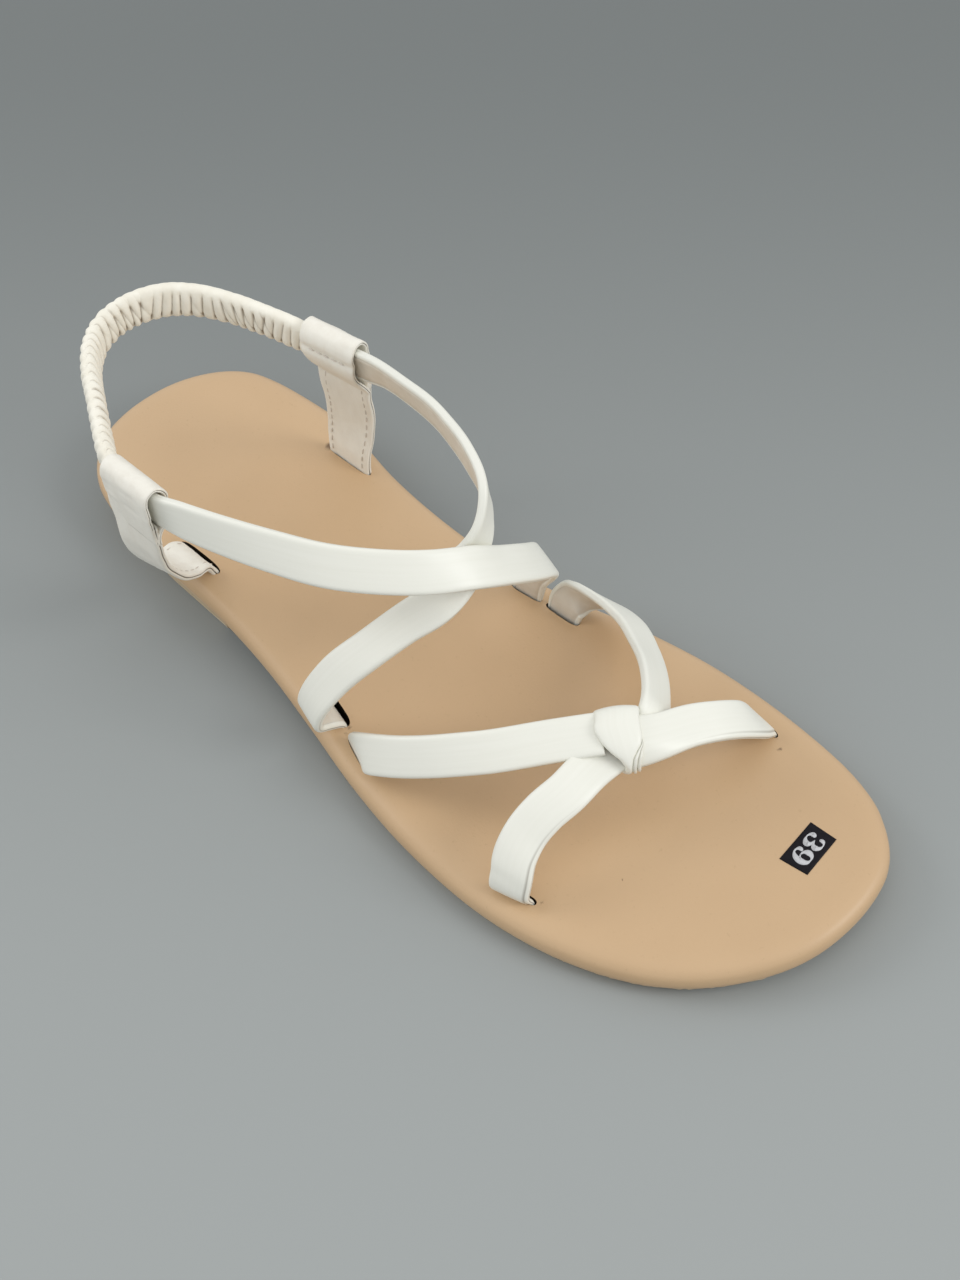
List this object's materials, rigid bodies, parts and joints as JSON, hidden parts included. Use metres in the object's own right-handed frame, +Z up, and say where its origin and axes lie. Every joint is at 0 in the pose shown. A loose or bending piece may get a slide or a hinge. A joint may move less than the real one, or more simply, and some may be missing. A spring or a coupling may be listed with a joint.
{
  "type": "flat sandal",
  "caption": "Flat slingback sandal for the right foot, tan leather footbed, white straps crossed over the instep and knotted over the toes, gathered elastic heel strap",
  "frame": {"origin": "middle of the bounding box, on the ground under the sole", "axes": "+X to the toe, +Y to the inner side of the right foot, +Z up"},
  "size_m": [0.255, 0.0911, 0.0736],
  "materials": {
    "outsole_rubber": "matte",
    "heel_crepe": "matte",
    "tan_leather": "satin",
    "white_leather": "satin",
    "tab_leather": "satin",
    "elastic": "matte"
  },
  "bodies": {
    "root": {"outsole": "outsole_rubber", "heel_lift": "heel_crepe", "footbed": "tan_leather", "instep_straps": "white_leather", "toe_straps": "white_leather", "tab_medial": "tab_leather", "tab_lateral": "tab_leather", "heel_elastic": "elastic"}
  },
  "joints": []
}
